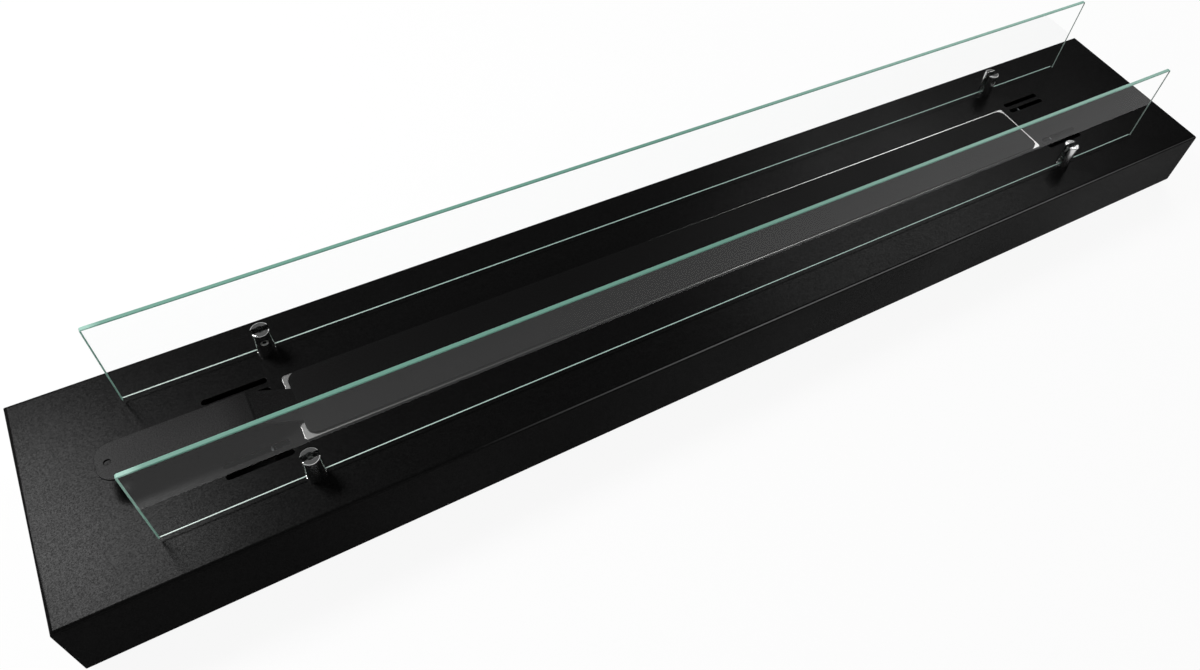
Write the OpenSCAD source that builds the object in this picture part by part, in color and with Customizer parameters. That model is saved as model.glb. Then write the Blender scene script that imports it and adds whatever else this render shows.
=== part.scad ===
// Tabletop bioethanol fireplace: a long folded steel casing with a drop-in burner,
// a loose lid with a raised tongue, and two glass wind screens held by slotted posts.
// Millimetres. X runs along the casing, Y from the front screen to the back one, Z up.
// The origin is on the surface that the feet stand on, under the middle of the casing.

/* [Casing] */
// Length of the casing
casing_l = 1200; // [1150:10:1500]
// Width of the casing, front to back
casing_w = 200; // [180:2:280]
// Height of the folded casing, without its base panel and feet
casing_h = 72; // [64:1:110]
// Thickness of the casing's sheet
sheet_t = 2; // [1.5:0.25:3]
// Inner radius of the casing's bends
bend_r = 1; // [0.5:0.25:3]
// Width of the lips that turn in under the casing
lip_w = 18; // [15:0.5:24]

/* [Air slots] */
// Length of one air slot, end to end
slot_l = 51; // [30:1:60]
// Width of one air slot
slot_w = 5; // [4:0.5:6]
// From the end of the burner's flange to the nearest slot end
slot_gap = 10.5; // [6:0.5:20]
// Metal left between an air slot and the wall of the burner housing
slot_inset = 1.75; // [1:0.25:3]

/* [Burner] */
// Length of the burner's flange
flange_l = 814; // [600:2:830]
// Width of the burner's flange
flange_w = 66; // [54:1:80]
// Thickness of the flange and of the tray's walls
tray_t = 1.5; // [1:0.25:2.5]
// Corner radius of the flange
flange_r = 3; // [1:0.5:6]
// How far the flange laps over the edge of its cut-out
flange_lap = 8; // [5:0.5:12]
// Gap between the tray's walls and the cut-out
tray_gap = 1; // [0.5:0.25:2]
// Outer corner radius of the tray below its flange
tray_r = 4; // [3:0.5:8]
// Depth of the slotted cover below the top of the flange
cover_drop = 10; // [7:0.5:14]
// Thickness of the slotted cover
cover_t = 1.5; // [1:0.25:2]
// Width of the flame slot in the cover
flame_slot_w = 20; // [8:1:24]
// Length of cover left at each end of the flame slot
flame_slot_end = 22; // [12:1:60]
// Air space between the fleece and the cover
fleece_gap = 6; // [5:0.5:10]

/* [Lid] */
// Thickness of the lid's sheet
lid_t = 2; // [1.5:0.25:3]
// Flange left uncovered at each end of the lid
lid_end_gap = 3.5; // [1:0.25:8]
// Flange left uncovered along each side of the lid
lid_side_gap = 1.5; // [0.5:0.25:4]
// Corner radius of the lid
lid_r = 9; // [4:0.5:12]
// Angle in degrees at which the loose lid has been put down
lid_skew = 0.12; // [0:0.02:0.2]
// Width of the tongue
tongue_w = 33; // [24:1:40]
// Length of the tongue's level part
tongue_l = 110; // [80:1:140]
// Corner radius of the tongue
tongue_r = 12; // [6:0.5:12]
// Length of the ramp from the lid up to the tongue
ramp_l = 32; // [22:1:50]
// Height of the tongue above the lid
tongue_rise = 18; // [14:0.5:26]
// Diameter of the hole for the hook
hook_hole_d = 5; // [4:0.25:8]
// From the end of the tongue to the centre of the hook hole
hook_edge = 8; // [7:0.5:14]

/* [Glass screens] */
// Length of a glass screen
glass_l = 1040; // [880:2:1100]
// Height of a glass screen
glass_h = 94; // [70:1:200]
// Thickness of the glass
glass_t = 4; // [3:0.5:6]
// Gap between the glass and the casing
glass_gap = 4; // [3:0.5:10]
// From the casing's outline to the middle of a screen
glass_inset = 35.5; // [26:0.5:42]
// How far the front screen has been clamped off centre, towards the tongue
front_glass_slip = 2; // [-4:0.5:4]
// Width of the ground arris on the glass edges
arris = 0.4; // [0.2:0.1:0.8]
// Thickness of the clear liner between glass and post
liner_t = 0.7; // [0.5:0.1:1]

/* [Posts] */
// Diameter of a post
post_d = 15; // [14:0.5:20]
// Height of a post
post_h = 30; // [24:1:45]
// Distance between the posts of one screen
post_span = 818; // [600:2:860]
// Diameter of the threaded hole up the middle of a post
post_bore_d = 6.8; // [5:0.1:7]
// Diameter of the grub screw that clamps the glass
grub_d = 6; // [4:0.5:6.5]
// Height of the grub screw above the casing
grub_h = 20; // [14:0.5:22]

/* [Underside] */
// Thickness of the base panel
panel_t = 1.5; // [1.5:0.25:3]
// How far the base panel is set in from the casing's outline
panel_inset = 3; // [2:0.5:5]
// Diameter of the screws that hold the base panel
base_screw_d = 4; // [3:0.5:4]
// From the casing's outline to the line of base screws
base_screw_inset = 10; // [9:0.5:11]
// Base screws along each long side
base_screws_n = 5; // [2:1:8]
// Diameter of a rubber foot
foot_d = 18; // [12:1:30]
// Height of a rubber foot
foot_h = 4; // [2:0.5:10]
// From the casing's outline to the middle of a foot
foot_inset = 32; // [30:1:50]

/* [Inside] */
// Thickness of the burner housing's sheet
housing_t = 1.5; // [1:0.25:2]
// Gap between the tray's walls and the housing
housing_gap = 7; // [4:0.5:9]
// How far the housing runs past the end of the burner's flange
housing_end = 24; // [16:1:30]
// Width of the housing's flanges under the casing's top
housing_lip = 12; // [8:1:14]
// Air gap between the tray and the floor of the housing
tray_air_gap = 9; // [5:1:20]
// Thickness of the insulation board under the housing
board_t = 15; // [6:1:20]
// Width of a cross rib
rib_w = 26; // [20:1:40]
// Height of a cross rib
rib_h = 20; // [12:1:40]
// Thickness of a cross rib's sheet
rib_t = 1.5; // [1:0.25:2.5]

/* [Hidden] */
$fn = 72;

// Clearance of a screw in its hole, and of a piece between two walls
screw_gap = 0.1;
side_gap = 0.5;
// Overshoot of a cut past the face that it opens
cut = 1;

// Heights above the surface the feet stand on
panel_z = foot_h;
casing_z = panel_z + panel_t;
top_z = casing_z + casing_h;
under_top_z = top_z - sheet_t;
flange_z = top_z + tray_t;
board_z = casing_z;
housing_floor_z = board_z + board_t;
tray_z = housing_floor_z + housing_t + tray_air_gap;
tray_floor_z = tray_z + tray_t;
cover_z = flange_z - cover_drop;
fleece_h = cover_z - cover_t - fleece_gap - tray_floor_z;
lid_z = flange_z;
glass_z = top_z + glass_gap;

// Casing
casing_bend_r = bend_r + sheet_t;
base_screw_x = casing_l / 2 - base_screw_inset;
base_screw_y = casing_w / 2 - base_screw_inset;
foot_x = casing_l / 2 - foot_inset;
foot_y = casing_w / 2 - foot_inset;

// Burner, from the flange inwards
cutout_l = flange_l - 2 * flange_lap;
cutout_w = flange_w - 2 * flange_lap;
tray_l = cutout_l - 2 * tray_gap;
tray_w = cutout_w - 2 * tray_gap;
tray_in_l = tray_l - 2 * tray_t;
tray_in_w = tray_w - 2 * tray_t;
tray_in_r = tray_r - tray_t;
cover_l = tray_in_l - 2 * tray_in_r;
cover_w = tray_in_w - 2 * side_gap;
fleece_l = cover_l;
fleece_w = cover_w - 2 * cover_t;
flame_slot_l = cover_l - 2 * flame_slot_end;
housing_in_l = flange_l + 2 * housing_end;
housing_in_w = tray_w + 2 * housing_gap;

// Air slots: the inner row opens inside the housing, the outer row beside it
slot_x = flange_l / 2 + slot_gap + slot_l / 2;
slot_in_y = housing_in_w / 2 - slot_inset - slot_w / 2;
slot_out_y = housing_in_w / 2 + housing_t + slot_inset + slot_w / 2;
slot_end_x = slot_x + slot_l / 2;

// Cross ribs, midway between the air slots and the end walls
rib_x = (slot_end_x + casing_l / 2 - sheet_t) / 2;

// Lid
lid_l = flange_l - 2 * lid_end_gap;
lid_w = flange_w - 2 * lid_side_gap;
ramp_x = -lid_l / 2;
tongue_x = ramp_x - ramp_l;
tongue_end_x = tongue_x - tongue_l;
tongue_z = lid_z + tongue_rise;
hook_x = tongue_end_x + hook_edge;

// Glass and posts
glass_y = casing_w / 2 - glass_inset;
post_x = post_span / 2;
post_slot_w = glass_t + 2 * liner_t;
post_slot_h = glass_gap - liner_t;
post_chamfer = 0.6;
post_hole_d = post_bore_d + 1.6;
liner_l = post_d - 0.5;
grub_sink = 0.8;
grub_l = post_d / 2 - post_slot_w / 2 - grub_sink;
grub_hex = grub_d * 0.55;

// Fasteners
post_screw_d = post_bore_d - 2 * screw_gap;
post_screw_head_d = post_bore_d * 2.1;
post_screw_head_h = post_bore_d * 0.75;
post_washer_d = post_bore_d * 2.35;
post_washer_t = 1.6;
base_head_d = base_screw_d * 1.9;
base_head_h = (base_head_d - base_screw_d) / 2 * 0.7;
base_screw_hole_d = base_screw_d + 0.4;
clinch_d = base_screw_d * 2;
clinch_h = 3;
base_screw_l = panel_t + sheet_t + clinch_h + 1;

// Rectangle centred on the origin with true round corners
module rounded_rect(l, w, r) {
    square([l - 2 * r, w], center = true);
    square([l, w - 2 * r], center = true);
    for (x = [-1, 1], y = [-1, 1])
        translate([x * (l / 2 - r), y * (w / 2 - r)])
            circle(r);
}

// Rectangle centred on the origin with cut corners
module chamfered_rect(l, w, c) {
    polygon([[-l / 2 + c, -w / 2], [l / 2 - c, -w / 2], [l / 2, -w / 2 + c], [l / 2, w / 2 - c],
        [l / 2 - c, w / 2], [-l / 2 + c, w / 2], [-l / 2, w / 2 - c], [-l / 2, -w / 2 + c]]);
}

// Slot with round ends, centred on the origin, along X
module round_slot(l, w) {
    square([l - w, w], center = true);
    for (x = [-1, 1])
        translate([x * (l - w) / 2, 0])
            circle(d = w);
}

// Extrude a drawing of the X-Z plane along Y, or of the Y-Z plane along X, centred
module along_y(w) {
    rotate([90, 0, 0])
        linear_extrude(w, center = true)
            children();
}

module along_x(l) {
    rotate([90, 0, 90])
        linear_extrude(l, center = true)
            children();
}

// Box standing on the origin whose level edges are bends of radius r
module bent_box(l, w, h, r) {
    intersection() {
        along_y(w)
            translate([0, h / 2])
                rounded_rect(l, h, r);
        along_x(l)
            translate([0, h / 2])
                rounded_rect(w, h, r);
    }
}

// Upright glass sheet centred on the origin with a ground arris on every edge
module glass_sheet(l, w, h, c) {
    intersection() {
        along_y(w)
            chamfered_rect(l, h, c);
        along_x(l)
            chamfered_rect(w, h, c);
        linear_extrude(h, center = true)
            chamfered_rect(l, w, c);
    }
}

// Places of the screws in the casing's bottom lips
module at_base_screws() {
    step = 2 * base_screw_x / base_screws_n;
    for (i = [0 : base_screws_n - 1], y = [-1, 1])
        translate([(i + 0.5) * step - base_screw_x, y * base_screw_y, 0])
            children();
    for (x = [-1, 1])
        translate([x * base_screw_x, 0, 0])
            children();
}

module at_posts() {
    for (x = [-1, 1], y = [-1, 1])
        translate([x * post_x, y * glass_y, 0])
            rotate([0, 0, y > 0 ? 180 : 0])
                children();
}

module casing() color("#26272a") {
    difference() {
        translate([0, 0, casing_z])
            bent_box(casing_l, casing_w, casing_h, casing_bend_r);
        translate([0, 0, casing_z + sheet_t])
            bent_box(casing_l - 2 * sheet_t, casing_w - 2 * sheet_t, casing_h - 2 * sheet_t, bend_r);
        translate([0, 0, casing_z])
            cube([casing_l - 2 * lip_w, casing_w - 2 * lip_w, 4 * sheet_t], center = true);
        translate([0, 0, under_top_z - cut])
            linear_extrude(sheet_t + 2 * cut) {
                rounded_rect(cutout_l, cutout_w, tray_r);
                for (x = [-1, 1], y = [-slot_out_y, -slot_in_y, slot_in_y, slot_out_y])
                    translate([x * slot_x, y])
                        round_slot(slot_l, slot_w);
            }
        at_posts()
            translate([0, 0, under_top_z - cut])
                cylinder(h = sheet_t + 2 * cut, d = post_hole_d);
        at_base_screws()
            translate([0, 0, casing_z - cut])
                cylinder(h = sheet_t + 2 * cut, d = base_screw_hole_d);
    }
}

module base_panel() color("#303133") {
    difference() {
        translate([0, 0, panel_z])
            linear_extrude(panel_t)
                rounded_rect(casing_l - 2 * panel_inset, casing_w - 2 * panel_inset, casing_bend_r);
        at_base_screws()
            translate([0, 0, panel_z - cut])
                cylinder(h = panel_t + 2 * cut, d = base_screw_hole_d);
        at_base_screws()
            translate([0, 0, panel_z])
                cylinder(h = base_head_h, d1 = base_head_d + 2 * screw_gap, d2 = base_screw_d + 2 * screw_gap);
    }
}

module base_screws() color("#8d9094") {
    at_base_screws()
        translate([0, 0, panel_z])
            difference() {
                union() {
                    cylinder(h = base_head_h, d1 = base_head_d, d2 = base_screw_d);
                    cylinder(h = base_screw_l, d = base_screw_d);
                }
                translate([0, 0, -cut])
                    cylinder(h = cut + base_head_h * 0.7, d = base_screw_d * 0.6, $fn = 6);
            }
}

module clinch_nuts() color("#9a9ca0") {
    at_base_screws()
        translate([0, 0, casing_z + sheet_t])
            difference() {
                cylinder(h = clinch_h, d = clinch_d);
                translate([0, 0, -cut])
                    cylinder(h = clinch_h + 2 * cut, d = base_screw_d + 2 * screw_gap);
            }
}

module feet() color("#1b1b1c") {
    for (x = [-foot_x, 0, foot_x], y = [-foot_y, foot_y])
        translate([x, y, 0])
            cylinder(h = foot_h, d = foot_d);
}

// Channel under the casing's top, from the front wall to the back one
module cross_rib(side) color("#3a3b3d") {
    length = casing_w - 2 * sheet_t - 2 * side_gap - 2 * bend_r;
    translate([side * rib_x, 0, under_top_z - rib_h / 2])
        difference() {
            cube([rib_w, length, rib_h], center = true);
            translate([0, 0, -rib_t])
                cube([rib_w - 2 * rib_t, length + 2 * cut, rib_h], center = true);
        }
}

module rib_left() cross_rib(-1);
module rib_right() cross_rib(1);

// Open trough round the burner; its two long flanges lie under the casing's top
module burner_housing() color("#55585b") {
    outer_l = housing_in_l + 2 * housing_t;
    outer_w = housing_in_w + 2 * housing_t;
    height = under_top_z - housing_floor_z;
    translate([0, 0, housing_floor_z]) {
        difference() {
            translate([-outer_l / 2, -outer_w / 2, 0])
                cube([outer_l, outer_w, height]);
            translate([-housing_in_l / 2, -housing_in_w / 2, housing_t])
                cube([housing_in_l, housing_in_w, height]);
        }
        for (y = [-1, 1])
            translate([0, y * (outer_w + housing_lip) / 2, height - housing_t / 2])
                cube([cutout_l, housing_lip + housing_t / 2, housing_t], center = true);
    }
}

module insulation_board() color("#d9d4c4") {
    translate([0, 0, board_z + board_t / 2])
        cube([housing_in_l, housing_in_w, board_t], center = true);
}

module burner_tray() color("#b9bcc0") {
    difference() {
        union() {
            translate([0, 0, top_z])
                linear_extrude(tray_t)
                    rounded_rect(flange_l, flange_w, flange_r);
            translate([0, 0, tray_z])
                linear_extrude(top_z - tray_z)
                    rounded_rect(tray_l, tray_w, tray_r);
        }
        translate([0, 0, tray_floor_z])
            linear_extrude(flange_z - tray_floor_z + cut)
                rounded_rect(tray_in_l, tray_in_w, tray_in_r);
    }
}

module fuel_fleece() color("#efece2") {
    translate([0, 0, tray_floor_z + fleece_h / 2])
        cube([fleece_l, fleece_w, fleece_h], center = true);
}

// Slotted channel that stands on the tray's floor, over the fleece
module burner_cover() color("#a9acb0") {
    height = cover_z - tray_floor_z;
    difference() {
        translate([0, 0, tray_floor_z + height / 2])
            cube([cover_l, cover_w, height], center = true);
        translate([0, 0, tray_floor_z + (height - cover_t) / 2 - cut])
            cube([cover_l + 2 * cut, cover_w - 2 * cover_t, height - cover_t + 2 * cut], center = true);
        translate([0, 0, cover_z - cover_t - cut])
            linear_extrude(cover_t + 2 * cut)
                round_slot(flame_slot_l, flame_slot_w);
    }
}

// Outline of the ramp and the level tongue, seen from the front
module tongue_side() {
    slope = atan2(tongue_rise, ramp_l);
    shift = lid_t * tan(slope / 2);
    root_x = ramp_x + lid_r;
    tip_x = tongue_x - cut;
    polygon([[root_x, lid_z], [ramp_x, lid_z], [tongue_x, tongue_z], [tip_x, tongue_z],
        [tip_x, tongue_z + lid_t], [tongue_x + shift, tongue_z + lid_t],
        [ramp_x + shift, lid_z + lid_t], [root_x, lid_z + lid_t]]);
}

module tongue_plan() {
    length = tongue_l - tongue_r;
    translate([tongue_x - length / 2, 0])
        square([length, tongue_w], center = true);
    translate([tongue_end_x + tongue_r, 0])
        square([2 * tongue_r, tongue_w - 2 * tongue_r], center = true);
    for (y = [-1, 1])
        translate([tongue_end_x + tongue_r, y * (tongue_w / 2 - tongue_r)])
            circle(tongue_r);
}

module burner_lid() color("#2c2d30") {
    rotate([0, 0, -lid_skew])
        difference() {
            union() {
                translate([0, 0, lid_z])
                    linear_extrude(lid_t)
                        rounded_rect(lid_l, lid_w, lid_r);
                along_y(tongue_w)
                    tongue_side();
                translate([0, 0, tongue_z])
                    linear_extrude(lid_t)
                        tongue_plan();
            }
            translate([hook_x, 0, tongue_z - cut])
                cylinder(h = lid_t + 2 * cut, d = hook_hole_d);
        }
}

// Post at its own origin, with its grub screw towards +Y
module post_body() color("#d5d8db") {
    difference() {
        union() {
            cylinder(h = post_h - post_chamfer, d = post_d);
            translate([0, 0, post_h - post_chamfer])
                cylinder(h = post_chamfer, d1 = post_d, d2 = post_d - 2 * post_chamfer);
        }
        translate([-post_d, -post_slot_w / 2, post_slot_h])
            cube([2 * post_d, post_slot_w, post_h]);
        translate([0, 0, -cut])
            cylinder(h = post_h + 2 * cut, d = post_bore_d);
        translate([0, 0, grub_h])
            rotate([-90, 0, 0])
                cylinder(h = post_d, d = grub_d + 2 * screw_gap);
    }
}

module glass_post(side, row) {
    translate([side * post_x, row * glass_y, top_z])
        rotate([0, 0, row > 0 ? 180 : 0])
            post_body();
}

module glass_post_front_left() glass_post(-1, -1);
module glass_post_front_right() glass_post(1, -1);
module glass_post_back_left() glass_post(-1, 1);
module glass_post_back_right() glass_post(1, 1);

// Hexagon screws that come up through the casing into the posts
module post_screws() color("#9fa2a6") {
    at_posts() {
        translate([0, 0, under_top_z - post_washer_t - post_screw_head_h])
            cylinder(h = post_screw_head_h, d = post_screw_head_d, $fn = 6);
        translate([0, 0, under_top_z - post_washer_t])
            cylinder(h = post_washer_t + sheet_t + post_slot_h - side_gap, d = post_screw_d);
    }
}

module post_washers() color("#b4b7ba") {
    at_posts()
        translate([0, 0, under_top_z - post_washer_t])
            difference() {
                cylinder(h = post_washer_t, d = post_washer_d);
                translate([0, 0, -cut])
                    cylinder(h = post_washer_t + 2 * cut, d = post_screw_d + 4 * screw_gap);
            }
}

// Grub screws with a hexagon socket; each presses its liner against the glass
module clamp_screws() color("#6e7174") {
    at_posts()
        translate([0, post_slot_w / 2, top_z + grub_h])
            rotate([-90, 0, 0])
                difference() {
                    cylinder(h = grub_l, d = grub_d);
                    translate([0, 0, grub_l / 2])
                        cylinder(h = grub_l, d = grub_hex, $fn = 6);
                }
}

// Clear channels that line the post slots
module glass_liners() color("#e8ecec") {
    height = post_h - post_slot_h;
    at_posts()
        translate([0, 0, top_z + post_slot_h + height / 2])
            difference() {
                cube([liner_l, post_slot_w, height], center = true);
                translate([0, 0, liner_t])
                    cube([liner_l + 2 * cut, glass_t, height], center = true);
            }
}

module glass_screen(row, slip) color("#9fd0c4") {
    translate([-slip, row * glass_y, glass_z + glass_h / 2])
        glass_sheet(glass_l, glass_t, glass_h, arris);
}

module front_glass() glass_screen(-1, front_glass_slip);
module back_glass() glass_screen(1, 0);

casing();
base_panel();
base_screws();
clinch_nuts();
feet();
rib_left();
rib_right();
burner_housing();
insulation_board();
burner_tray();
fuel_fleece();
burner_cover();
burner_lid();
glass_post_front_left();
glass_post_front_right();
glass_post_back_left();
glass_post_back_right();
post_screws();
post_washers();
clamp_screws();
glass_liners();
front_glass();
back_glass();
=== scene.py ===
# %% [markdown]
# # Dressing a tabletop ethanol fireplace
# The CAD model already holds every rigid piece of this fireplace, at its real size: a long folded
# steel casing, a burner pan with a loose lid, and two glass wind screens in slotted posts. This
# lesson gives those pieces their finish. It softens the edges that a folding press and a powder
# coat would soften, builds the glass and the fuel fleece anew, and lights it all like a catalogue
# picture. Every length is in metres, and every object shares the CAD model's frame.

# %% Load the frame
import math

import bmesh
import bpy
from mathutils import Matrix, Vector, noise


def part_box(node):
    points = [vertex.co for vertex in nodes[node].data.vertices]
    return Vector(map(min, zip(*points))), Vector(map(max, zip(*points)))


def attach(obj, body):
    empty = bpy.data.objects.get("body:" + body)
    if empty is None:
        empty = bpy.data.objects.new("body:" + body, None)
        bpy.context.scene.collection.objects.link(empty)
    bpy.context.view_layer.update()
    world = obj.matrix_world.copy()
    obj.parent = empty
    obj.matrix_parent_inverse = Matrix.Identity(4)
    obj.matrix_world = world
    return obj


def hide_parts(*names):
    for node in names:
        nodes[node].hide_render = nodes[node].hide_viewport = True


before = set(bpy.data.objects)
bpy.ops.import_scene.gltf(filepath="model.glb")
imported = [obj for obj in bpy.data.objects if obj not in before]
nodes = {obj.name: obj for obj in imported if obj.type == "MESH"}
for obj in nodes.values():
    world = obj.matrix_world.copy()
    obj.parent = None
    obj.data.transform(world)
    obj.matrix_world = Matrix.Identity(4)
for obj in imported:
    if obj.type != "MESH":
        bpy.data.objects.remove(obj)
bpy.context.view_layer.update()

MM = 0.001
scene = bpy.context.scene

# %% [markdown]
# ## The camera
# The photograph looks down on the fireplace from beyond its left front corner. Its picture was
# cut out of a wider one, so the middle of the frame isn't the middle of the lens. The camera's
# shift says that exactly, where turning the camera would bend the perspective. The picture also
# leans to one side, which is a roll about the line of sight.

# %% Place the camera
PICTURE_WIDTH, PICTURE_HEIGHT = 1200, 670
LENS_CENTRE = (680.35, 273.11)
FOCAL_PIXELS = 970.17
CAMERA_PLACE = Vector((-414.02, -471.61, 778.67)) * MM
CAMERA_TURN = (39.328, -6.278, -30.736)

lens = bpy.data.cameras.new("camera")
lens.sensor_width = 36
lens.lens = lens.sensor_width * FOCAL_PIXELS / PICTURE_WIDTH
lens.shift_x = (PICTURE_WIDTH / 2 - LENS_CENTRE[0]) / PICTURE_WIDTH
lens.shift_y = (LENS_CENTRE[1] - PICTURE_HEIGHT / 2) / PICTURE_WIDTH
lens.clip_start = 0.05
lens.clip_end = 60
camera = bpy.data.objects.new("camera", lens)
camera.location = CAMERA_PLACE
camera.rotation_euler = [math.radians(angle) for angle in CAMERA_TURN]
scene.collection.objects.link(camera)
scene.camera = camera
print("camera shift:", round(lens.shift_x, 4), round(lens.shift_y, 4))

# %% [markdown]
# ## Shader nodes as plain sums
# Wiring nodes one at a time hides what they compute. This small class holds one output of a node.
# Adding or multiplying two of them adds a Math node, so that a mask reads as it would on paper,
# and any other node comes from one method.


# %% Write shader maths as expressions
class Wire:
    """One output of a shader node. Sums, differences and products of wires are Math nodes."""

    def __init__(self, tree, socket=None):
        self.tree = tree
        self.socket = socket

    def node(self, kind, settings=None, sockets=None, output=0):
        """Add a node: its settings are set first, and then its sockets are filled or linked."""
        made = self.tree.nodes.new(kind)
        for name, value in (settings or {}).items():
            if name == "stops":
                set_stops(made.color_ramp, value)
            else:
                setattr(made, name, value)
        for name, value in (sockets or {}).items():
            if isinstance(value, Wire):
                self.tree.links.new(value.socket, made.inputs[name])
            else:
                made.inputs[name].default_value = value
        return Wire(self.tree, made.outputs[output] if made.outputs else None)

    def maths(self, operation, first, second):
        return self.node("ShaderNodeMath", {"operation": operation}, {0: first, 1: second})

    def __add__(self, other):
        return self.maths("ADD", self, other)

    def __radd__(self, other):
        return self.maths("ADD", other, self)

    def __sub__(self, other):
        return self.maths("SUBTRACT", self, other)

    def __rsub__(self, other):
        return self.maths("SUBTRACT", other, self)

    def __mul__(self, other):
        return self.maths("MULTIPLY", self, other)


def grey(level):
    return (level, level, level, 1)


def set_stops(ramp, stops):
    """Give a colour ramp these (position, level) stops, each of them a grey."""
    while len(ramp.elements) > 1:
        ramp.elements.remove(ramp.elements[-1])
    for number, (position, level) in enumerate(stops):
        element = ramp.elements[0] if number == 0 else ramp.elements.new(position)
        element.position = position
        element.color = grey(level)


def new_material(name):
    """A material with no nodes yet, and a wire to start its node tree from."""
    material = bpy.data.materials.new(name)
    material.use_nodes = True
    material.node_tree.nodes.clear()
    return material, Wire(material.node_tree)


def finish_surface(start, values):
    """Close a material's node tree with one Principled shader that has these values."""
    surface = start.node("ShaderNodeBsdfPrincipled", sockets=values)
    start.node("ShaderNodeOutputMaterial", sockets={"Surface": surface})


# %% [markdown]
# ## The studio
# The picture was taken under soft boxes and then cut out on white, so the floor here is white
# paper. Most of what the camera sees of it is its own even glow and the rest is the light that
# falls on it, so the fireplace still leaves a faint shadow. Mirrors and glass see the same floor,
# which is what draws the grey band in the front screen.

# %% Lay the floor
FLOOR_SIZE = 30
FLOOR_GLOW = 0.92
PAPER_WHITE = 0.9

paper, start = new_material("white_paper")
rays = start.node("ShaderNodeLightPath").socket.node.outputs
straight, mirrored, through = (Wire(start.tree, rays[name]) for name in (
    "Is Camera Ray", "Is Glossy Ray", "Is Transmission Ray"))
seen = start.maths("MAXIMUM", straight + through, mirrored)
lit = start.node("ShaderNodeBsdfDiffuse", sockets={"Color": grey(PAPER_WHITE)})
glow = start.node("ShaderNodeEmission", sockets={"Color": grey(1.0), "Strength": 1.0})
mixed = start.node("ShaderNodeMixShader", sockets={0: seen * FLOOR_GLOW, 1: lit, 2: glow})
start.node("ShaderNodeOutputMaterial", sockets={"Surface": mixed})

bm = bmesh.new()
bmesh.ops.create_grid(bm, x_segments=1, y_segments=1, size=FLOOR_SIZE / 2)
floor_mesh = bpy.data.meshes.new("floor")
bm.to_mesh(floor_mesh)
bm.free()
floor = bpy.data.objects.new("floor", floor_mesh)
floor_mesh.materials.append(paper)
scene.collection.objects.link(floor)
print("floor:", FLOOR_SIZE, "m across")

# %% [markdown]
# The room itself is the world. Near the horizon it is as pale as the far floor, so that no edge
# shows between them. It is dark overhead, so that a black plate seen from above stays black. Two
# soft boxes hang behind the fireplace. Black paint shows a lamp only where it mirrors it, so the
# place of each box was found by tracing that mirror: the left one shines in the plate's left end,
# and the larger and weaker one on the right shines in its right half and in the burner's steel rim.

# %% Light the studio
ROOM_PALE, PALE_BELOW = 0.94, 0.26
ROOM_DARK, DARK_ABOVE = 0.12, 0.46

world = bpy.data.worlds.new("studio")
world.use_nodes = True
world.node_tree.nodes.clear()
scene.world = world
start = Wire(world.node_tree)
direction = start.node("ShaderNodeTexCoord", output="Generated")
rise = direction.node("ShaderNodeSeparateXYZ", sockets={0: direction}, output="Z")
stops = [(PALE_BELOW, ROOM_PALE), (DARK_ABOVE, ROOM_DARK)]
sweep = rise.node("ShaderNodeValToRGB", {"stops": stops}, {0: rise})
light = start.node("ShaderNodeBackground", sockets={"Color": sweep, "Strength": 1.0})
start.node("ShaderNodeOutputWorld", sockets={"Surface": light})


def soft_box(name, place, target, width, height, watts):
    """A rectangular lamp at place, turned to face target, with its width level."""
    lamp = bpy.data.lights.new(name, "AREA")
    lamp.shape = "RECTANGLE"
    lamp.size, lamp.size_y = width, height
    lamp.energy = watts
    box = bpy.data.objects.new(name, lamp)
    box.location = place
    box.rotation_euler = (Vector(target) - Vector(place)).to_track_quat("-Z", "Y").to_euler()
    scene.collection.objects.link(box)
    print(name, "radiance", round(watts / (math.pi * width * height), 2))


soft_box("left_box", place=(-0.93, 0.68, 1.33), target=(-0.55, -0.06, 0.08),
         width=0.49, height=0.49, watts=22.3)
soft_box("right_box", place=(1.16, 0.62, 1.28), target=(0.30, 0.02, 0.08),
         width=0.80, height=0.68, watts=9.2)

scene.view_settings.view_transform = "Standard"

# %% [markdown]
# ## Patterns
# Every finish below is built from the same few parts: a noise of a known size, noise drawn out
# along X for brushed work, flakes that each have one grey, a bump made from any of them, and a way
# to stretch a value from one range to another.


# %% Write the patterns
def noise_of(place, size, detail=2.0, rough=0.5):
    """Noise whose lumps are about size metres across."""
    values = {"Vector": place, "Scale": 1 / size, "Detail": detail, "Roughness": rough}
    return place.node("ShaderNodeTexNoise", sockets=values)


def brushed(place, stretch, size):
    """Scratches along X: noise drawn out by stretch."""
    values = {"Vector": place, "Scale": (1 / stretch, 1, 1)}
    drawn = place.node("ShaderNodeMapping", sockets=values)
    return noise_of(drawn, size, 3.0, 0.65)


def flakes_of(place, size):
    """A grey that is even within each flake, of about that size, and differs between flakes."""
    values = {"Vector": place, "Scale": 1 / size}
    cells = place.node("ShaderNodeTexVoronoi", sockets=values, output="Color")
    return cells.node("ShaderNodeRGBToBW", sockets={0: cells})


def relief(height, strength, depth):
    """A bump for the Normal socket, as deep as depth metres where height is 1."""
    values = {"Strength": strength, "Distance": depth, "Height": height}
    return height.node("ShaderNodeBump", sockets=values)


def mix_colours(factor, first, second):
    return factor.node("ShaderNodeMix", {"data_type": "RGBA"}, {0: factor, 6: first, 7: second}, 2)


def spread(value, low, high, to_low, to_high):
    """Stretch value so that low..high becomes to_low..to_high, and clamp it there."""
    values = {0: value, 1: low, 2: high, 3: to_low, 4: to_high}
    return value.node("ShaderNodeMapRange", sockets=values)


def coordinate(place, axis):
    return place.node("ShaderNodeSeparateXYZ", sockets={0: place}, output=axis)


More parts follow.
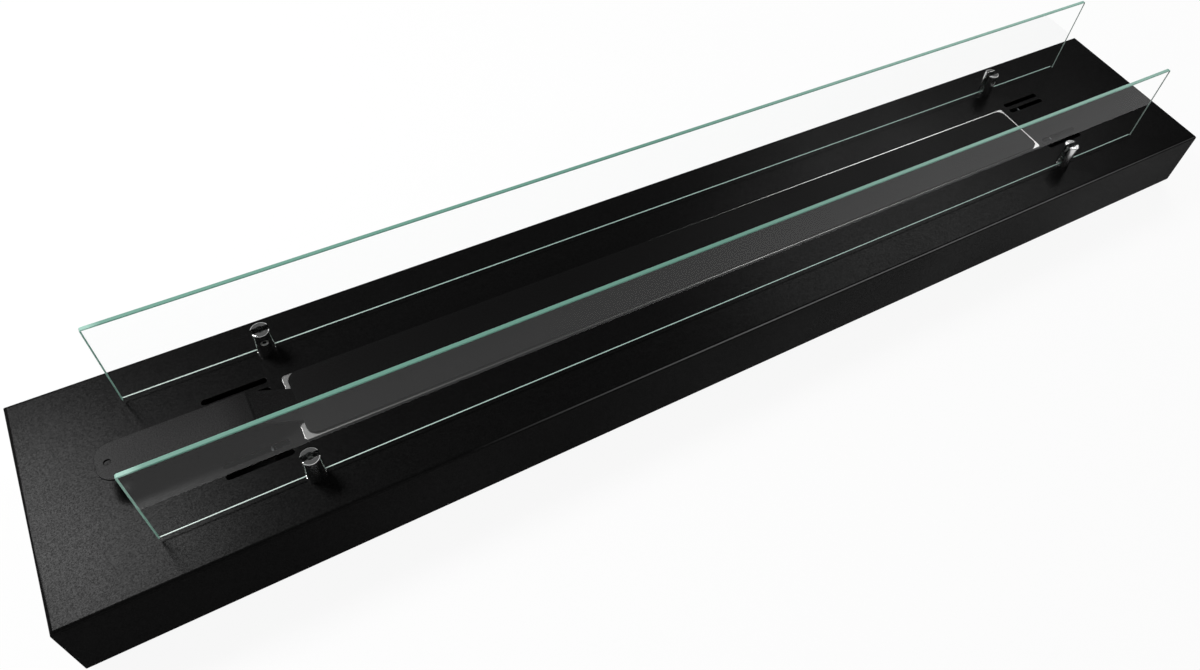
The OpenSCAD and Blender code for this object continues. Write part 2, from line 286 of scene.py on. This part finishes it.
# %% [markdown]
# ## Powder coat
# The casing and the lid are steel sprayed with black powder and baked. The powder melts into a
# skin with a fine grain, about a millimetre across, that only shows where a lamp is mirrored in
# it. Noise at that size drives the bump and how much of the skin shines, and a slower noise lets
# the gloss drift a little over the length, as sprayed work does. The lid is a later, slightly
# paler batch. A pale line along the middle of the front fold is a painted highlight. Use leaves
# other marks: the front wall is duller to the left, and the lid's tongue shines more than the
# rest of it.

# %% Mix the powder coats
GRAIN_DEPTH = 0.1 * MM
DRIFT_SIZE = 0.16
# The grey, the band and the reach of a highlight painted along the front fold.
FOLD_HIGHLIGHT_GREY = 0.17
FOLD_BAND = (-99.3 * MM, -98.6 * MM)
BAND_FADE = 0.2 * MM
BEND_FOOT, BEND_HEAD = 74 * MM, 74.5 * MM
HIGHLIGHT_STARTS, HIGHLIGHT_ENDS = (-0.30, 0.0), (0.36, 0.54)
ON_WALL, OFF_WALL = -99.9 * MM, -99.5 * MM
WALL_DULL, WALL_BRIGHT = -0.45, 0.45
TONGUE_STARTS = (-0.46, -0.44)


def powder_coat(name, level, roughness, skin, grain, painted_highlight=None, shiny=None):
    """A matt black powder coat: level is its colour, skin how much of it shines, grain its lumps.

    An optional mask function of place says where a highlight is painted into the colour, and
    shiny(place) how many times as much it shines.
    """
    material, start = new_material(name)
    place = start.node("ShaderNodeTexCoord", output="Object")
    lumps = noise_of(place, grain, 2.0, 0.6)
    drift = noise_of(place, DRIFT_SIZE, 1.0)
    pale = spread(lumps, 0.35, 0.75, 0.0, 1.0)
    colour = mix_colours(pale, grey(level * 0.7), grey(level * 1.5))
    shine = spread(lumps, 0.32, 0.68, skin * 0.45, skin * 1.55) * (drift + 0.5)
    # Paint the fold's highlight into the colour where its mask says.
    if painted_highlight:
        colour = mix_colours(painted_highlight(place), colour, grey(FOLD_HIGHLIGHT_GREY))
    if shiny:
        shine = shine * shiny(place)
    finish_surface(start, {
        "Base Color": colour, "Roughness": 0.8, "Specular IOR Level": 0.0,
        "Normal": relief(lumps, 0.6, GRAIN_DEPTH),
        "Coat Weight": shine, "Coat Roughness": roughness, "Coat IOR": 1.5})
    return material


def painted_fold_highlight(place):
    """A painted highlight along the middle of the front fold, from the left third almost to the
    right end.
    """
    along, across, up = (coordinate(place, axis) for axis in "XYZ")
    front, back = FOLD_BAND
    in_band = spread(across, front - BAND_FADE, front, 0, 1) * spread(
        across, back, back + BAND_FADE, 1, 0)
    on_bend = spread(up, BEND_FOOT, BEND_HEAD, 0, 1)
    reach = spread(along, *HIGHLIGHT_STARTS, 0, 1) * spread(along, *HIGHLIGHT_ENDS, 1, 0.3)
    return in_band * on_bend * reach


def dull_wall(place):
    """The front wall shines less to the left, and the rest of the casing evenly."""
    on_wall = spread(coordinate(place, "Y"), ON_WALL, OFF_WALL, 1, 0)
    dulled = spread(coordinate(place, "X"), WALL_DULL, WALL_BRIGHT, 0.35, 1.25)
    return 1 + on_wall * (dulled - 1)


def handled_tongue(place):
    """The lid's tongue, at its left end, shines twice as much as the rest."""
    return spread(coordinate(place, "X"), *TONGUE_STARTS, 2.0, 1.0)


casing_coat = powder_coat("black_powder_coat", level=0.0040, roughness=0.27, skin=0.08,
                          grain=0.95 * MM, painted_highlight=painted_fold_highlight, shiny=dull_wall)
lid_coat = powder_coat("lid_powder_coat", level=0.0058, roughness=0.39, skin=0.08,
                       grain=0.9 * MM, shiny=handled_tongue)
panel_coat = powder_coat("dark_panel", level=0.008, roughness=0.5, skin=0.1, grain=1.3 * MM)
print("coats:", casing_coat.name, lid_coat.name, panel_coat.name)

# %% [markdown]
# ## Bare metals
# The burner pan is stainless steel, brushed along its length: noise stretched fifty times along X
# gives the scratches. The posts are turned bar with a bright chrome plate, and the grooves round
# their bodies spread light up and down, which is what the anisotropy does. The hidden housing and
# ribs are galvanised, with the frost-like spangle of hot zinc dulled dark by heat. The screws,
# nuts and washers underneath have a plain zinc plate. The grub screws are bright steel, with the
# inside of each hexagon socket painted dark grey as shade.

# %% Mix the metals
BRUSHED_STRETCH = 50
SPANGLE_SIZE = 14 * MM


def metal(name):
    """Start a metal: its material, its object coordinates and the value that all metals share."""
    material, start = new_material(name)
    place = start.node("ShaderNodeTexCoord", output="Object")
    return material, place, {"Metallic": 1.0}


def mottled_metal(name, colour, size, smooth, rough):
    """A metal whose roughness wanders between two values, in patches of that size."""
    material, place, values = metal(name)
    values["Base Color"] = colour
    values["Roughness"] = spread(noise_of(place, size), 0.3, 0.7, smooth, rough)
    finish_surface(place, values)
    return material


stainless, place, values = metal("stainless_steel")
scratches = brushed(place, BRUSHED_STRETCH, 0.5 * MM)
values["Base Color"] = (0.37, 0.37, 0.36445, 1)
values["Roughness"] = spread(scratches, 0.3, 0.7, 0.2, 0.26)
values["Normal"] = relief(scratches, 0.4, 0.004 * MM)
finish_surface(place, values)

chrome, place, values = metal("polished_chrome")
values["Base Color"] = grey(0.7)
values["Roughness"] = spread(noise_of(place, 3 * MM, 3.0), 0.4, 0.75, 0.05, 0.1)
values["Normal"] = relief(noise_of(place, 0.7 * MM), 0.3, 0.002 * MM)
finish_surface(place, values)

turned, place, values = metal("turned_chrome")
round_scale = (1 / BRUSHED_STRETCH, 1 / BRUSHED_STRETCH, 1)
grooves = place.node("ShaderNodeMapping", sockets={"Vector": place, "Scale": round_scale})
values["Base Color"] = grey(0.6)
values["Roughness"] = spread(noise_of(grooves, 1.5 * MM), 0.3, 0.7, 0.13, 0.15)
values["Anisotropic"] = 0.9
values["Anisotropic Rotation"] = 0.25
finish_surface(place, values)

galvanised, place, values = metal("galvanised_sheet")
spangle = flakes_of(place, SPANGLE_SIZE)
values["Base Color"] = mix_colours(spangle, (0.09, 0.095, 0.10, 1), (0.16, 0.17, 0.175, 1))
values["Roughness"] = spread(spangle, 0.1, 0.9, 0.6, 0.72)
finish_surface(place, values)

zinc = mottled_metal("zinc_steel", (0.49, 0.5, 0.5, 1), size=1.5 * MM, smooth=0.28, rough=0.45)
# A dark grey for the shade painted inside the grub screws' hexagon sockets.
dark_steel = mottled_metal("dark_steel", grey(0.06), size=0.8 * MM, smooth=0.35, rough=0.5)
rubbed_steel = mottled_metal("rubbed_steel", grey(0.85), size=0.8 * MM, smooth=0.35, rough=0.48)
print("metals:", ", ".join(made.name for made in (
    stainless, chrome, turned, galvanised, zinc, dark_steel, rubbed_steel)))

# %% [markdown]
# ## Glass
# Float glass is clear through its faces and green along its edges, where light has travelled the
# long way through the sheet. A sheet this thin hardly bends what is seen through it, so its faces
# let everything straight through and add a weak mirror that grows as the view gets slanting. The
# ground edges are their own material: a green that is deep over the left half, and painted light
# makes it paler to the right and at the very left end. A lighter green is a painted highlight, the
# thin line of light along the foot, and a greyer one is for the line up the right end.

# %% Mix the glass
GLASS_SHINE = 0.41
LINER_SHINE = 0.6
PALE_END = (-0.505, -0.518)


def clear_sheet(name, tint, shine, roughness):
    """A sheet that is seen straight through, with a weak mirror on its outside."""
    material, start = new_material(name)
    window = start.node("ShaderNodeBsdfTransparent", sockets={"Color": tint})
    mirror = start.node("ShaderNodeBsdfGlossy",
                        sockets={"Color": grey(1.0), "Roughness": roughness})
    slant = start.node("ShaderNodeFresnel", sockets={"IOR": 1.5})
    inside = start.node("ShaderNodeNewGeometry", output="Backfacing")
    share = slant * shine * (1 - inside)
    pane = start.node("ShaderNodeMixShader", sockets={0: share, 1: window, 2: mirror})
    start.node("ShaderNodeOutputMaterial", sockets={"Surface": pane})
    return material


def edge_green(name, deep, pale, deep_x, pale_x):
    """The green of a ground glass edge: deep at one place along X, and pale at another.

    It is pale at the left end too. The paler green is painted light.
    """
    material, start = new_material(name)
    place = start.node("ShaderNodeTexCoord", output="Object")
    along = coordinate(place, "X")
    # Painted light: the edge's green is paler to the right and at the left end.
    paler = spread(along, deep_x, pale_x, 0.0, 1.0) + spread(along, *PALE_END, 0.0, 1.4)
    paler = paler + (brushed(place, 30, 1.2 * MM) - 0.5) * 0.4
    finish_surface(start, {"Base Color": mix_colours(paler, deep, pale), "Roughness": 0.35,
                           "Specular IOR Level": 0.1})
    return material


clear_glass = clear_sheet("clear_glass", (0.998, 1.0, 0.999, 1), GLASS_SHINE, 0.0)
glass_edge = edge_green("ground_glass_edge", deep_x=-0.05, pale_x=0.5,
                        deep=(0.14, 0.30, 0.24, 1), pale=(0.31, 0.52, 0.44, 1))
# The greens of the line along the foot are a painted highlight.
foot_highlight_edge = edge_green("painted_highlight_glass_edge", deep_x=-0.25, pale_x=-0.5,
                         deep=(0.42, 0.57, 0.52, 1), pale=(0.70, 0.80, 0.75, 1))
end_edge = edge_green("end_glass_edge", deep_x=0.1, pale_x=0.9,
                      deep=(0.14, 0.18, 0.165, 1), pale=(0.19, 0.235, 0.215, 1))
print("glass:", clear_glass.name, glass_edge.name, foot_highlight_edge.name, end_edge.name)

# %% [markdown]
# ## Everything else
# Rubber feet, the clear liners that keep steel off glass, the mineral board and the fuel fleece.
# Little of them shows, but each is still made of something: the board is pressed flakes, and the
# fleece a white felt of mineral fibres.

# %% Mix the rubber, plastic, board and fleece
rubber, start = new_material("black_rubber")
place = start.node("ShaderNodeTexCoord", output="Object")
bloom = noise_of(place, 2 * MM, 3.0)
finish_surface(start, {
    "Base Color": mix_colours(bloom, grey(0.012), grey(0.028)), "Roughness": 0.8})

liner_plastic = clear_sheet("clear_liner", (0.97, 0.98, 0.975, 1), LINER_SHINE, 0.2)

pressed_board, start = new_material("insulation")
place = start.node("ShaderNodeTexCoord", output="Object")
flakes = flakes_of(place, 3 * MM)
finish_surface(start, {
    "Base Color": mix_colours(flakes, (0.50, 0.44, 0.31, 1), (0.70, 0.65, 0.52, 1)),
    "Roughness": 0.9, "Normal": relief(flakes, 0.5, 0.3 * MM)})

felt, start = new_material("white_fleece")
place = start.node("ShaderNodeTexCoord", output="Object")
fibres = brushed(place, 6, 0.6 * MM)
clumps = noise_of(place, 6 * MM, 3.0)
finish_surface(start, {
    "Base Color": mix_colours(fibres, (0.62, 0.60, 0.55, 1), (0.86, 0.85, 0.81, 1)),
    "Roughness": 0.95, "Specular IOR Level": 0.2,
    "Normal": relief(fibres + clumps, 0.8, 0.5 * MM)})
print("others:", rubber.name, liner_plastic.name, pressed_board.name, felt.name)

# %% [markdown]
# ## From a CAD solid to a softened piece
# A CAD solid has edges of no width, which no folded, sawn or sprayed piece has, and it is edges
# that catch the light. The helpers copy a solid, merge its loose triangles back into whole faces,
# and round its outer corners with a bevel. The faces are then smooth-shaded, except across any
# corner that is still sharp, and weighted normals keep the flat faces flat.

# %% Write the helpers that make pieces
MERGE_DISTANCE = 0.002 * MM
FLAT_ANGLE = math.radians(0.3)
ROUNDED_ANGLE = math.radians(35)
SHARP_ANGLE = math.radians(32)


def cad_copy(node):
    """A bmesh of a CAD node whose loose triangles are merged back into whole faces."""
    bm = bmesh.new()
    bm.from_mesh(nodes[node].data)
    bmesh.ops.remove_doubles(bm, verts=bm.verts, dist=MERGE_DISTANCE)
    bmesh.ops.dissolve_limit(bm, angle_limit=FLAT_ANGLE, verts=bm.verts, edges=bm.edges)
    return bm


def bevel(bm, edges, width, segments):
    bmesh.ops.bevel(bm, geom=edges, offset=width, offset_type="OFFSET", affect="EDGES",
                    segments=segments, profile=0.5, material=-1, clamp_overlap=False)


def round_edges(bm, radius, segments=2, chosen=None):
    """Bevel the outer corners that turn by more than ROUNDED_ANGLE, or the chosen ones of them."""
    corners = [e for e in bm.edges if e.is_manifold and e.is_convex
               and e.calc_face_angle() > ROUNDED_ANGLE and (chosen is None or chosen(e))]
    bevel(bm, corners, radius, segments)
    return len(corners)


def make_piece(name, bm, materials, body, node):
    """Turn a bmesh into a shaded piece that rides on a body and stands for its CAD node."""
    mesh = bpy.data.meshes.new(name)
    bm.to_mesh(mesh)
    bm.free()
    for material in materials:
        mesh.materials.append(material)
    mesh.shade_smooth()
    mesh.set_sharp_from_angle(angle=SHARP_ANGLE)
    piece = bpy.data.objects.new(name, mesh)
    scene.collection.objects.link(piece)
    flat = piece.modifiers.new("flat_faces", "WEIGHTED_NORMAL")
    flat.keep_sharp = True
    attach(piece, body)
    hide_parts(node)
    print(name + ":", len(mesh.vertices), "points,", len(mesh.polygons), "faces")
    return piece


def runs_along(edge, axis):
    """True for an edge that runs along an axis, where 0, 1 and 2 are X, Y and Z."""
    run = edge.verts[1].co - edge.verts[0].co
    return abs(run.normalized()[axis]) > 0.9


# %% [markdown]
# ## The casing
# The casing is one sheet, folded down on four sides and in again underneath. Its long bends are
# already in the CAD solid. What the coat adds is a soft rim on every cut edge: the air slots, the
# burner's cut-out, and the four corners where the folded walls were welded and ground.

# %% Soften the casing
CASING_RIM = 0.45 * MM

bm = cad_copy("casing")
rims = round_edges(bm, CASING_RIM)
make_piece("folded_casing", bm, [casing_coat], "frame", "casing")
print("casing rims rounded:", rims)

# %% [markdown]
# ## The lid
# The lid is a flat bar of sheet with a narrow tongue bent up at one end, so that a hook can reach
# under it when it is hot. The two folds across the tongue get a true bend radius first. The cut
# edges get a smaller one from the powder coat.

# %% Bend and soften the lid
LID_RIM = 0.35 * MM
FOLD_BEND = 1.2 * MM
FOLD_LENGTH = 20 * MM
LEAST_FOLD, MOST_FOLD = math.radians(20), math.radians(45)


def is_fold(edge):
    """True for a long edge straight across the sheet, where the tongue bends."""
    run = edge.verts[1].co - edge.verts[0].co
    across = abs(run.y) > FOLD_LENGTH and abs(run.x) < 1 * MM
    return across and LEAST_FOLD < edge.calc_face_angle() < MOST_FOLD


bm = cad_copy("burner_lid")
folds = [e for e in bm.edges if is_fold(e)]
bevel(bm, folds, FOLD_BEND, 5)
rims = round_edges(bm, LID_RIM)
make_piece("sliding_lid", bm, [lid_coat], "lid", "burner_lid")
print("lid folds:", len(folds), "rims:", rims)

# %% [markdown]
# ## The burner
# Under the lid a stainless pan hangs by its flange in the casing. A slotted cover stands in it and
# keeps the fuel fleece down. Both are folded sheet, so the same bevel serves, with a larger radius
# along the two top folds of the cover.

# %% Soften the burner pan and its cover
PAN_RIM = 0.2 * MM
COVER_RIM = 0.25 * MM
COVER_BEND = 1.6 * MM
NEAR = 0.1 * MM

bm = cad_copy("burner_tray")
rims = round_edges(bm, PAN_RIM)
make_piece("burner_pan", bm, [stainless], "burner", "burner_tray")
print("pan rims:", rims)

cover_low, cover_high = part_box("burner_cover")


def is_top_fold(edge):
    """True for the cover's two long outer corners."""
    return all(abs(abs(v.co.y) - cover_high.y) < NEAR and v.co.z > cover_high.z - NEAR
               for v in edge.verts)


bm = cad_copy("burner_cover")
folds = round_edges(bm, COVER_BEND, 4, is_top_fold)
rims = round_edges(bm, COVER_RIM)
make_piece("slotted_cover", bm, [stainless], "burner", "burner_cover")
print("cover folds:", folds, "rims:", rims)

# %% [markdown]
# The fleece that soaks up the fuel is a block of white ceramic wool. It is cut a little small, its
# edges are crushed round, and its faces are never quite flat. A box is divided into a grid of
# about four millimetres, its corners are rounded, and every point is pushed in or out by noise.

# %% Felt the fuel fleece
CELL = 4 * MM
CUT_SMALL = Vector((2, 1.2, 1.2)) * MM
SAG = Vector((0, 0, 0.6)) * MM
SMOOTHINGS = 3
WIDE_LUMP, SMALL_LUMP = 9 * MM, 3.5 * MM
LUMP_DEPTH = 0.9 * MM

fleece_low, fleece_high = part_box("fuel_fleece")
fleece_size = fleece_high - fleece_low - CUT_SMALL
fleece_middle = (fleece_low + fleece_high) / 2 - SAG

bm = bmesh.new()
bmesh.ops.create_cube(bm, size=1)
bmesh.ops.scale(bm, vec=fleece_size, verts=bm.verts)
for axis in range(3):
    along = [e for e in bm.edges if runs_along(e, axis)]
    cuts = max(2, round(fleece_size[axis] / CELL) - 1)
    bmesh.ops.subdivide_edges(bm, edges=along, cuts=cuts, use_grid_fill=True)
for _ in range(SMOOTHINGS):
    bmesh.ops.smooth_vert(bm, verts=bm.verts, factor=0.5, use_axis_x=True, use_axis_y=True,
                          use_axis_z=True)
bm.normal_update()
for vert in bm.verts:
    lump = noise.noise(vert.co / WIDE_LUMP) * 0.5 + noise.noise(vert.co / SMALL_LUMP) * 0.3
    vert.co += vert.normal * lump * LUMP_DEPTH
bmesh.ops.translate(bm, vec=fleece_middle, verts=bm.verts)
fleece = make_piece("ceramic_wool", bm, [felt], "burner", "fuel_fleece")

# %% [markdown]
# ## The glass screens
# Each screen is a long sheet of toughened glass. A cube is scaled to the CAD sheet, the four
# corners of its outline are rounded a little, and then every edge gets the narrow ground arris
# that makes a sheet safe to handle. The broad faces take the clear glass, and the top and the left
# end the green. The foot and the right end are clear too, each with one coloured line along it;
# the line along the foot is a painted highlight.

# %% Cut the glass screens
ARRIS = 0.6 * MM
CORNER = 1.6 * MM
BRIGHT_LINE = 0.85 * MM
END_LINE = 1.6 * MM
CLEAR, GROUND, FOOT_HIGHLIGHT, END = range(4)
screen_materials = [clear_glass, glass_edge, foot_highlight_edge, end_edge]


def cut_screen(name, node, line_depth):
    """A glass sheet with clear faces, a green rim and a painted highlight line along its foot.

    The line's middle lies line_depth behind the front face. The right end has a darker line, at
    its front.
    """
    low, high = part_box(node)
    foot = (low.y + line_depth - BRIGHT_LINE / 2, low.y + line_depth + BRIGHT_LINE / 2)
    end = low.y + END_LINE
    bm = bmesh.new()
    bmesh.ops.create_cube(bm, size=1)
    bmesh.ops.scale(bm, vec=high - low, verts=bm.verts)
    bmesh.ops.translate(bm, vec=(low + high) / 2, verts=bm.verts)
    bevel(bm, [e for e in bm.edges if runs_along(e, 1)], CORNER, 6)
    faces = [f for f in bm.faces if abs(f.normal.y) > 0.9]
    bevel(bm, [e for f in faces for e in f.edges], ARRIS, 1)
    for seam in (end, *foot):
        bmesh.ops.bisect_plane(bm, geom=bm.verts[:] + bm.edges[:] + bm.faces[:], dist=0.001 * MM,
                               plane_co=(0, seam, 0), plane_no=(0, 1, 0))
    for face in bm.faces:
        depth = face.calc_center_median().y
        if abs(face.normal.y) > 0.99:
            face.material_index = CLEAR
        elif face.normal.z > 0.5 or face.normal.x < -0.5:
            face.material_index = GROUND
        elif face.normal.x > 0.5:
            face.material_index = END if depth < end else CLEAR
        else:
            face.material_index = FOOT_HIGHLIGHT if foot[0] < depth < foot[1] else CLEAR
    make_piece(name, bm, screen_materials, "frame", node)


cut_screen("front_screen", "front_glass", line_depth=2.2 * MM)
cut_screen("back_screen", "back_glass", line_depth=3.3 * MM)

# %% [markdown]
# ## The posts
# A post is a short bar, turned, drilled up the middle, sawn down to take the glass, and plated.
# Plating rounds every corner by about a quarter of a millimetre, and on a mirror that thin line
# is what shows. Level faces take the plain plate, and upright ones the turned one. The grub screw
# that presses on the glass is bright steel with a hexagon socket, whose inside is painted shade.

# %% Soften the posts and grub screws
POST_RIM = 0.22 * MM
SCREW_RIM = 0.2 * MM
SOCKET_REACH = 2.2 * MM
PLATED, TURNED = range(2)
SOCKET_SHADE, RUBBED = range(2)

for corner in ("front_left", "front_right", "back_left", "back_right"):
    bm = cad_copy("glass_post_" + corner)
    round_edges(bm, POST_RIM)
    for face in bm.faces:
        upright = abs(face.normal.z) < 0.2
        face.material_index = TURNED if upright else PLATED
    make_piece("post_" + corner, bm, [chrome, turned], "frame",
               "glass_post_" + corner)

screws_low, screws_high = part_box("clamp_screws")
screw_radius = (screws_high.z - screws_low.z) / 2
screw_height = screws_low.z + screw_radius
screw_along = screws_high.x - screw_radius


def off_axis(point):
    """How far a point lies from the axis of the nearest grub screw."""
    return math.hypot(abs(point.x) - screw_along, point.z - screw_height)


bm = cad_copy("clamp_screws")
round_edges(bm, SCREW_RIM, 3)
# Faces inside a hexagon socket take the dark grey of painted shade; the rest is bright steel.
for face in bm.faces:
    outside_socket = max(off_axis(v.co) for v in face.verts) > SOCKET_REACH
    face.material_index = RUBBED if outside_socket else SOCKET_SHADE
make_piece("grub_screws", bm, [dark_steel, rubbed_steel], "frame", "clamp_screws")

# %% [markdown]
# ## The pieces that keep their CAD shape
# The hidden sheet metal and board, the feet, the screws and the liners are right as they are, so
# they only take their finish. Each CAD object's own material slots are emptied and filled again,
# and nothing moves.

# %% Paint the CAD pieces
finishes = {
    "base_panel": panel_coat, "base_screws": zinc, "clinch_nuts": zinc, "feet": rubber,
    "rib_left": galvanised, "rib_right": galvanised, "burner_housing": galvanised,
    "insulation_board": pressed_board, "post_screws": zinc, "post_washers": zinc,
    "glass_liners": liner_plastic,
}
for node, material in finishes.items():
    nodes[node].data.materials.clear()
    nodes[node].data.materials.append(material)
print("painted CAD pieces:", len(finishes))
